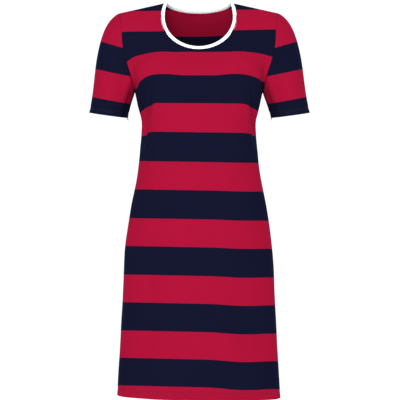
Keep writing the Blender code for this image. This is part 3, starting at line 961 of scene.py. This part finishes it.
def thicken(piece, wall, over_edge, turned_up):
    """Give a cloth its wall, twice as thick where it is turned up at its edge."""
    group = piece.vertex_groups.new(name="turned_up")
    places = np.array([vertex.co for vertex in piece.data.vertices])
    doubled = over_edge(places) < turned_up
    for layers, chosen in ((1, ~doubled), (2, doubled)):
        group.add(np.flatnonzero(chosen).tolist(), layers / 2, "REPLACE")
    solidify(piece, wall * 2, group.name)


Form = namedtuple("Form", "panels sleeve neck")


@cache
def form():
    """The shirt's fine surfaces: both panels, the left sleeve and the neckline's ring."""
    coarse = {face: panel_points(face) for face in (FRONT, BACK)}
    ease_yokes(coarse[FRONT], coarse[BACK])
    panels = {face: fine_panel(points) for face, points in coarse.items()}
    front, back = panels[FRONT], panels[BACK]
    armhole = np.vstack([front[:ARMPIT_ROW + 1, -1], back[ARMPIT_ROW - 1:0:-1, -1]])
    neck = np.vstack([front[0, NECK_FIRST:NECK_LAST + 1],
                      back[0, NECK_FIRST + 1:NECK_LAST][::-1]])
    return Form(panels, sleeve_points(armhole), neck)


def sleeve_points(armhole):
    """Grid of the left sleeve: rings from the armhole to the cuff."""
    run = run_of(closed_up(armhole[None]))[0]
    turn = run[:-1] / run[-1] * math.tau
    out = CUFF_HALF_WIDTH * np.cos(turn)
    ahead = -CUFF_HALF_DEPTH * np.sin(turn)
    end = np.array(CUFF_CENTRE) + np.column_stack([
        out, ahead, CUFF_LEAN * out + CUFF_RISE_BEHIND * ahead])
    length = np.linalg.norm(end - armhole, axis=1)[:, None]
    low = ((1 - np.cos(turn)) / 2)[:, None]
    leaves = unit((1 - low) * SLEEVE_LEAVES_TOP + low * SLEEVE_LEAVES_BELOW)
    first = armhole + leaves * length * SLEEVE_HANDLE_TOP
    second = end - unit(SLEEVE_AXIS) * length * SLEEVE_HANDLE_CUFF
    t = np.concatenate([np.linspace(0, 1 - CUFF_SHARE, SLEEVE_STEPS + 1)[:-1],
                        np.linspace(1 - CUFF_SHARE, 1, CUFF_STEPS + 1)])[:, None, None]
    return ((1 - t) ** 3 * armhole + 3 * t * (1 - t) ** 2 * first
            + 3 * t * t * (1 - t) * second + t ** 3 * end)


def seam_pull(distance, sink, reach=SEAM_REACH):
    """How far a seam draws the cloth in, at a distance from it."""
    return sink * np.exp(-(distance / reach) ** 2)


def above_edge(points):
    """How far each point of a grid lies up from its last row."""
    down = run_down(points)
    return down[-1] - down


def stitch_heights(depth, sewing):
    """Heights of both rows of stitches above an edge turned up so deep."""
    return depth - STITCH_BELOW, depth - STITCH_BELOW - sewing.needle_gap


def stitch_pull(points, depth, sewing):
    """How far the two rows of stitches above an edge draw the cloth in."""
    up = above_edge(points)
    return sum(seam_pull(up - height, sewing.stitch_sink, STITCH_REACH)
               for height in stitch_heights(depth, sewing))


def dressed_panel(face, settings):
    """A panel's grid with its creases and its normals, and how far across its points lie."""
    cloth = settings.cloth
    points = form().panels[face].copy()
    normals = grid_normals(points)
    run = run_of(points)
    across = run - run[:, -1:] / 2
    to_seam = np.minimum(np.minimum(run, run[:, -1:] - run), run_down(points))
    creases = [crease[1:] for crease in CREASES if crease.face == face]
    rise = crease_height(points[..., 0], points[..., 2], creases)
    rise += cloth.unevenness * unevenness(across + face, points[..., 2])
    rise *= ease(to_seam / SEAM_CALM)
    rise -= seam_pull(to_seam, cloth.seam_sink)
    rise -= stitch_pull(points, cloth.hem_depth, settings.sewing)
    points += normals * rise[..., None]
    return points, normals, across


def build_panel(face, settings, jersey):
    """The front or the back, from the shoulder seams to the hem."""
    cloth = settings.cloth
    points, normals, across = dressed_panel(face, settings)
    way = stripe_way(form().panels[face], face) * settings.colours.stripe
    name = FACES[face]
    piece = grid_mesh(name + "_cloth", points, np.stack([across, way], axis=-1), normals)
    hem = points[-1]
    thicken(piece, cloth.wall, lambda at: at[:, 2] - np.interp(at[:, 0], hem[:, 0], hem[:, 2]),
            cloth.hem_depth)
    dress(piece, jersey, "striped_jersey", name)
    width, length, area = flat_cut(points)


def dressed_sleeve(side, settings):
    """A sleeve's grid and normals, and how far round it and up its cuff its points lie."""
    cloth = settings.cloth
    plain = form().sleeve
    normals = grid_normals(plain, ring=True)
    run = run_of(closed_up(plain))
    around, girth = run[:, :-1], run[:, -1:]
    way = run_down(plain)
    length = way[-1:]
    count = plain.shape[1]
    turned = np.tile(np.arange(count) / count * SLEEVE_TURN, (len(plain), 1))
    creases = np.array(SLEEVE_CREASES)
    creases[:, :4] *= (SLEEVE_TURN, SLEEVE_WAY, SLEEVE_TURN, SLEEVE_WAY)
    rise = crease_height(turned, way / length * SLEEVE_WAY, creases)
    rise += cloth.unevenness * unevenness(turned + SLEEVE_WAVE_START, way)
    underarm = np.abs(around - around[:, [ARMPIT_ROW]])
    underarm = np.minimum(underarm, girth - underarm)
    rise *= ease(way / ARMHOLE_CALM) * ease(underarm / SEAM_CALM)
    rise -= seam_pull(np.minimum(way, underarm), cloth.seam_sink)
    rise -= stitch_pull(plain, cloth.cuff_depth, settings.sewing)
    points = plain + normals * rise[..., None]
    points[..., 0] -= RIGHT_CUFF_IN * (side < 0) * (way / length) ** 2
    mirror = (side, 1.0, 1.0)
    return points * mirror, normals * mirror, run, length - way


def build_sleeve(side, word, settings, jersey):
    """One sleeve, from the armhole to the cuff."""
    cloth = settings.cloth
    points, normals, run, up = dressed_sleeve(side, settings)
    outward = (points[..., 0] - points[..., 0].mean(axis=1, keepdims=True)) * side
    to_body = np.clip(-outward / CUFF_HALF_WIDTH, -1, 1)
    stripes = 1 + (up - SLEEVE_LINE) / SLEEVE_STRIPE
    stripes += to_body * stripes * SLEEVE_TILT / SLEEVE_STRIPE
    stripes = closed_up(np.minimum(stripes, SLEEVE_TOP))
    flat = np.stack([run, stripes * settings.colours.stripe], axis=-1)
    piece = grid_mesh(f"sleeve_{word}_cloth", points, flat, normals, ring=True)
    cuff = points[-1]
    centre = cuff.mean(axis=0)
    square = np.linalg.svd(cuff - centre)[2][2]
    square *= math.copysign(1.0, square[2])
    thicken(piece, cloth.wall, lambda at: (at - centre) @ square, cloth.cuff_depth)
    dress(piece, jersey, "striped_jersey", f"sleeve_{word}")
    width = girth_at(points, up, up[0, ARMPIT_ROW])
    area_of(closed_up(points))


def area_of(points):
    """Area of a grid's surface."""
    a, b, c, d = points[:-1, :-1], points[:-1, 1:], points[1:, 1:], points[1:, :-1]
    halves = [np.cross(b - a, d - a), np.cross(d - c, b - c)]
    return float(sum(np.linalg.norm(half, axis=-1).sum() for half in halves) / 2)


def row_at(grid, up, height):
    """The line across a grid at one height above its last row."""
    return np.array([[np.interp(height, rise, part) for part in parts.T]
                     for rise, parts in zip(up[::-1].T, grid[::-1].transpose(1, 0, 2))])


def girth_at(points, up, height):
    """Length round a tube at one height above its last row."""
    return float(run_of(closed_up(row_at(points, up, height)[None]))[0, -1])


def flat_cut(points):
    """A panel's width below the armholes, its length and its flat area."""
    width = float(run_of(points)[ARMPIT_ROW:, -1].max())
    return width, float(run_down(points).max()), area_of(points)


def rounded(value, power):
    """A value's size to a power, with its sign kept."""
    return np.sign(value) * np.abs(value) ** power


def build_binding(rib):
    """The neck binding: a flat tube of rib, sewn round the neckline and closed on itself."""
    ring = form().neck
    lean, out = binding_frame(ring)
    turn = np.linspace(0, math.tau, BINDING_POINTS + 1)[:-1]
    across = BINDING_WIDTH / 2 * (1 - rounded(np.cos(turn), BINDING_END_ROUND))
    through = BINDING_THICK / 2 * rounded(np.sin(turn), BINDING_FACE_ROUND)
    through *= 1 - BINDING_PINCH * np.exp(-(across / BINDING_PINCH_REACH) ** 2)
    through += BINDING_PROUD - BINDING_THICK / 2
    points = ring + lean * across[:, None, None] + out * through[:, None, None]
    closed = closed_up(points)
    closed = np.concatenate([closed, closed[:1]])
    along = np.tile(run_of(closed_up(ring[None])), (len(closed), 1))
    flat = np.stack([along, run_down(closed)], axis=-1)
    piece = grid_mesh("neck_rib", points, flat, unit(points - points.mean(axis=0)),
                      ring=True, tube=True)
    dress(piece, rib, "neck_rib", "neck_binding")


def jersey_material(colours):
    """Plain-knit cotton with knitted-in stripes: flat loops with painted shade in their
    hollows, a fine fuzz and a soft sheen.
    """
    shader = Shader("knit_jersey")
    across, along = shader.flat_places()
    lean = abs(shader.maths("FRACT", across / colours.wale) * 2 - 1)
    loops = shader.wave(along / colours.course + lean * LOOP_LEAN)
    knit = loops * LOOP_RELIEF + (1 - lean * lean) * WALE_RELIEF
    ragged = along + lean * (colours.course * LOOP_LEAN)
    navy = shader.maths("FRACT", ragged / (2 * colours.stripe)) < 0.5
    fuzz = shader.noise(FUZZ_SCALE, FUZZ_DETAIL)
    wear = shader.noise(PATCH_SCALE) * PATCH_WEAR + fuzz * FUZZ_WEAR
    yarn = shader.mix(navy, tint(colours.red), tint(colours.navy))
    worn = shader.mix(navy, tint(colours.red, *WORN_RED), tint(colours.navy, *WORN_NAVY))
    white = (1.0, 1.0, 1.0)
    # painted shade: the base colour is painted darker in the knit's hollows
    shade = shader.mix(1 - knit, tint(white), tint(white, HOLLOW_PAINTED_SHADE))
    relief = shader.node("Bump", {}, {"Strength": 0.45, "Distance": 0.00022,
                                      "Height": knit + fuzz * 0.35})
    shader.set(shader.surface, {
        "Base Color": shader.mix(1.0, shader.mix(wear, yarn, worn), shade, "MULTIPLY"),
        "Roughness": 0.82 + fuzz * 0.14, "Normal": relief, "Specular IOR Level": 0.0,
        "Sheen Weight": 0.03, "Sheen Roughness": 0.32, "Sheen Tint": (0.28, 0.42, 1.0, 1.0)})
    return shader.material


def jersey_of(colours):
    """The striped jersey, made if it isn't there yet."""
    return bpy.data.materials.get("knit_jersey") or jersey_material(colours)


def rib_material(colours):
    """White rib knit: rounded ribs across the binding, with loops along them and painted shade
    between the ribs.
    """
    shader = Shader("knit_rib")
    along, across = shader.flat_places()
    ribs = abs(shader.maths("SINE", along / colours.rib * math.pi))
    height = ribs * RIB_RELIEF + shader.wave(across / colours.course) * RIB_LOOP_RELIEF
    fuzz = shader.noise(FUZZ_SCALE, FUZZ_DETAIL)
    relief = shader.node("Bump", {}, {"Strength": 0.5, "Distance": 0.00035,
                                      "Height": height + fuzz * 0.2})
    # painted shade: the white is painted darker down between the ribs
    shader.set(shader.surface, {
        "Base Color": shader.mix(height * 0.8 + 0.2, tint(colours.white, RIB_PAINTED_SHADE),
                                 tint(colours.white)),
        "Roughness": 0.78 + fuzz * 0.15, "Normal": relief,
        "Sheen Weight": 0.10, "Sheen Roughness": 0.5, "Specular IOR Level": 0.25})
    return shader.material


def thread_material(name, cloth, share):
    """Spun polyester thread in a share of its cloth's colour: twisted plies with painted shade
    between them, a faint gloss.
    """
    shader = Shader(name)
    plies = shader.noise(PLY_SCALE)
    # painted shade: noise paints the thread darker, standing in for the shade between its
    # plies
    shader.set(shader.surface, {
        "Base Color": shader.mix(plies, tint(cloth, share * PLY_PAINTED_SHADE), tint(cloth, share)),
        "Roughness": 0.50 + plies * 0.2, "Specular IOR Level": 0.4})
    return shader.material


def floor_material():
    """Pale floor with a faint grain."""
    shader = Shader("studio_floor")
    grain = shader.noise(FLOOR_SCALE)
    shader.set(shader.surface, {
        "Base Color": shader.mix(grain, (0.95, 0.95, 0.95, 1.0), (0.97, 0.97, 0.97, 1.0)),
        "Roughness": 0.7 + grain * 0.1, "Specular IOR Level": 0.2})
    return shader.material


def resampled(line, step):
    """A line's points, set evenly apart at about one step."""
    way = run_of(line[None, :, :3])[0]
    at = np.linspace(0, way[-1], max(2, round(way[-1] / step)) + 1)
    return np.column_stack([np.interp(at, way, part) for part in line.T])


def lay_stitches(shape, stitch, line, sewing):
    """Lay one row of stitches on a line of points with their normals."""
    line = resampled(line, sewing.stitch)
    for start, stop in zip(line, line[1:]):
        middle = (start + stop) / 2
        along = Vector(stop[:3] - start[:3]).normalized()
        side = Vector(middle[3:]).cross(along).normalized()
        out = along.cross(side)
        centre = Vector(middle[:3]) + out * sewing.thread * STITCH_PROUD
        laid = stitch.copy()
        laid.transform(Matrix.Translation(centre)
                       @ Matrix((along, side, out)).transposed().to_4x4())
        shape.from_mesh(laid)
        bpy.data.meshes.remove(laid)


def stitches(name, lines, sewing, thread):
    """A piece of stitches, from the lines that they follow."""
    one = bmesh.new()
    half = sewing.thread / 2
    size = Matrix.Diagonal((sewing.stitch * STITCH_HALF, half, half, 1))
    lying = size @ Matrix.Rotation(math.pi / 2, 4, "Y")
    bmesh.ops.create_uvsphere(one, u_segments=STITCH_ROUND, v_segments=STITCH_ALONG,
                              radius=1.0, matrix=lying)
    stitch = bpy.data.meshes.new("stitch")
    one.to_mesh(stitch)
    one.free()
    shape = bmesh.new()
    for line in lines:
        lay_stitches(shape, stitch, line, sewing)
    bpy.data.meshes.remove(stitch)
    dress(new_piece(name, shape), thread, "striped_jersey")


def stitch_lines(points, normals, depth, sewing):
    """Both lines of stitches across a grid turned up so deep, as points with their normals."""
    grid = np.concatenate([points, normals], axis=2)
    lines = [row_at(grid, above_edge(points), height)
             for height in stitch_heights(depth, sewing)]
    for line in lines:
        line[:, 3:] = unit(line[:, 3:])
    return lines


def hem_lines(settings):
    """Both lines of stitches round the hem, on the front and on the back."""
    return [line for face in (FRONT, BACK)
            for line in stitch_lines(*dressed_panel(face, settings)[:2],
                                     settings.cloth.hem_depth, settings.sewing)]


def cuff_lines(side, settings):
    """Both lines of stitches round one cuff."""
    points, normals, _, _ = dressed_sleeve(side, settings)
    return stitch_lines(closed_up(points), closed_up(normals), settings.cloth.cuff_depth,
                        settings.sewing)


def thread_tails(side, word, settings, thread):
    """Short ends of thread left hanging at a cuff's underarm seam."""
    end = Vector(dressed_sleeve(side, settings)[0][-1, ARMPIT_ROW])
    line = bpy.data.curves.new(f"thread_tail_{word}", "CURVE")
    line.dimensions = "3D"
    line.bevel_depth = settings.sewing.thread * TAIL_HALF
    line.bevel_resolution = 2
    line.use_fill_caps = True
    for hang in TAIL_ENDS:
        tail = line.splines.new("BEZIER")
        tail.bezier_points.add(len(hang) - 1)
        for knot, (aside, ahead, down) in zip(tail.bezier_points, hang):
            knot.co = (end.x + aside * side, end.y + ahead, end.z + down)
            knot.handle_left_type = knot.handle_right_type = "AUTO"
    piece = bpy.data.objects.new(line.name, line)
    bpy.context.scene.collection.objects.link(piece)
    dress(piece, thread, "striped_jersey")


def allowance_strip(name, seam, beside, inward, settings, jersey):
    """A seam allowance: a strip that lies inside along a seam."""
    width = settings.sewing.allowance
    wall = settings.cloth.wall
    aside = unit(beside - seam)
    points = np.array([seam + aside * width * out + inward * wall * depth
                       for out, depth in ALLOWANCE_LINES])
    along = run_of(seam[None])[0]
    flat = np.array([np.column_stack([along, np.full(len(along), width * out)])
                     for out, _ in ALLOWANCE_LINES])
    flat[..., 1] += stripe_way(points, BACK) * settings.colours.stripe
    piece = grid_mesh(name, points, flat, np.tile(inward, (len(points), 1, 1)))
    solidify(piece, wall)
    dress(piece, jersey, "striped_jersey")


def soft_light(light, power):
    """A large square light that faces the middle of the shirt."""
    lamp = bpy.data.lights.new(light.name, "AREA")
    lamp.size = light.size
    lamp.energy = power * light.share
    piece = bpy.data.objects.new(light.name, lamp)
    piece.location = light.place
    aim = Vector((0.0, 0.0, EYE_HEIGHT)) - piece.location
    piece.rotation_euler = aim.to_track_quat("-Z", "Y").to_euler()
    bpy.context.scene.collection.objects.link(piece)


class NIGHTSHIRT_OT_allowances(Operator):
    """Lay the seam allowances inside the side seams and the shoulder seams"""

    bl_idname = "nightshirt.allowances"
    bl_label = "Seam allowances"

    def execute(self, context):
        settings = context.scene.nightshirt
        jersey = jersey_of(settings.colours)
        points, normals, _ = dressed_panel(BACK, settings)
        inner = ALLOWANCE_BESIDE
        below = slice(ARMPIT_ROW + ALLOWANCE_START, None)
        shoulder = slice(inner, NECK_FIRST)
        for side, word in SIDES:
            grid, inward = points[:, ::-side], -normals[:, ::-side]
            allowance_strip(ALLOWANCE.format("side", word), grid[below, 0],
                            grid[below, inner], inward[below, inner], settings, jersey)
            allowance_strip(ALLOWANCE.format("shoulder", word), grid[0, shoulder],
                            grid[inner, shoulder], inward[inner, shoulder], settings, jersey)
        return {"FINISHED"}


class NIGHTSHIRT_OT_panels(Operator):
    """Make the front and the back of striped jersey"""

    bl_idname = "nightshirt.panels"
    bl_label = "Front and back"

    def execute(self, context):
        settings = context.scene.nightshirt
        jersey = jersey_of(settings.colours)
        for face in (FRONT, BACK):
            build_panel(face, settings, jersey)
        return {"FINISHED"}


class NIGHTSHIRT_OT_sleeves(Operator):
    """Make both sleeves of striped jersey"""

    bl_idname = "nightshirt.sleeves"
    bl_label = "Sleeves"

    def execute(self, context):
        settings = context.scene.nightshirt
        jersey = jersey_of(settings.colours)
        for side, word in SIDES:
            build_sleeve(side, word, settings, jersey)
        return {"FINISHED"}


class NIGHTSHIRT_OT_binding(Operator):
    """Make the white rib binding round the neck"""

    bl_idname = "nightshirt.binding"
    bl_label = "Neck binding"

    def execute(self, context):
        build_binding(rib_material(context.scene.nightshirt.colours))
        return {"FINISHED"}


class NIGHTSHIRT_OT_stitching(Operator):
    """Sew the twin rows of stitches round the hem and the cuffs"""

    bl_idname = "nightshirt.stitching"
    bl_label = "Hem and cuff stitching"

    def execute(self, context):
        settings = context.scene.nightshirt
        sewing = settings.sewing
        red = thread_material("red_thread", settings.colours.red, RED_THREAD)
        navy = thread_material("navy_thread", settings.colours.navy, NAVY_THREAD)
        stitches("hem_stitches", hem_lines(settings), sewing, red)
        for side, word in SIDES:
            thread_tails(side, word, settings, navy)
        for side, word in SIDES:
            stitches(f"cuff_{word}_stitches", cuff_lines(side, settings), sewing, navy)
        return {"FINISHED"}


class NIGHTSHIRT_OT_studio(Operator):
    """Set up the floor, the soft lights and the camera"""

    bl_idname = "nightshirt.studio"
    bl_label = "Studio"

    def execute(self, context):
        studio = context.scene.nightshirt.studio
        context.scene.view_settings.view_transform = "Standard"
        world = bpy.data.worlds.new("surround")
        world.use_nodes = True
        surround = world.node_tree.nodes["Background"]
        surround.inputs["Color"].default_value = (1.0, 1.0, 1.0, 1.0)
        surround.inputs["Strength"].default_value = studio.surround
        context.scene.world = world
        disc = bmesh.new()
        bmesh.ops.create_circle(disc, cap_ends=True, segments=FLOOR_CORNERS,
                                radius=FLOOR_RADIUS,
                                matrix=Matrix.Translation((0, 0, studio.floor_height)))
        floor = new_piece("studio_floor", disc)
        floor.data.materials.append(floor_material())
        for light in LIGHTS:
            soft_light(light, getattr(studio, light.setting))
        camera = bpy.data.cameras.new("camera")
        camera.sensor_width = SENSOR_WIDTH
        camera.lens = SENSOR_WIDTH * EYE_DISTANCE / VIEW_WIDTH
        camera.shift_x = CAMERA_SHIFT
        eye = bpy.data.objects.new("camera", camera)
        eye.location = (0.0, -EYE_DISTANCE, EYE_HEIGHT)
        eye.rotation_euler = (math.pi / 2, 0.0, 0.0)
        context.scene.collection.objects.link(eye)
        context.scene.camera = eye
        return {"FINISHED"}


class NightshirtSettings(PropertyGroup):
    """All of the nightshirt's settings."""

    cloth: PointerProperty(type=NightshirtCloth)
    colours: PointerProperty(type=NightshirtColours)
    sewing: PointerProperty(type=NightshirtSewing)
    studio: PointerProperty(type=NightshirtStudio)


class NIGHTSHIRT_PT_sidebar(Panel):
    """Lists the nightshirt's settings and the steps that make it."""

    bl_idname = "NIGHTSHIRT_PT_sidebar"
    bl_label = "Striped nightshirt"
    bl_space_type = "VIEW_3D"
    bl_region_type = "UI"
    bl_category = "Nightshirt"

    def draw(self, context):
        settings = context.scene.nightshirt
        for group in (settings.cloth, settings.colours, settings.sewing, settings.studio):
            box = self.layout.box()
            for name in group.__annotations__:
                box.prop(group, name)
        for step in STEPS:
            self.layout.operator(step.bl_idname)


STEPS = (
    NIGHTSHIRT_OT_allowances,
    NIGHTSHIRT_OT_panels,
    NIGHTSHIRT_OT_sleeves,
    NIGHTSHIRT_OT_binding,
    NIGHTSHIRT_OT_stitching,
    NIGHTSHIRT_OT_studio,
)
CLASSES = (
    NightshirtCloth,
    NightshirtColours,
    NightshirtSewing,
    NightshirtStudio,
    NightshirtSettings,
    *STEPS,
    NIGHTSHIRT_PT_sidebar,
)


def register():
    """Make the settings, the steps and the sidebar known."""
    for kind in CLASSES:
        bpy.utils.register_class(kind)
    bpy.types.Scene.nightshirt = PointerProperty(type=NightshirtSettings)


def unregister():
    """Take the settings, the steps and the sidebar away again."""
    del bpy.types.Scene.nightshirt
    for kind in reversed(CLASSES):
        bpy.utils.unregister_class(kind)


def main():
    """Build the dressed nightshirt and its studio."""
    register()
    bpy.ops.nightshirt.allowances()
    bpy.ops.nightshirt.panels()
    bpy.ops.nightshirt.sleeves()
    bpy.ops.nightshirt.binding()
    bpy.ops.nightshirt.stitching()
    bpy.ops.nightshirt.studio()


if __name__ == "__main__":
    main()
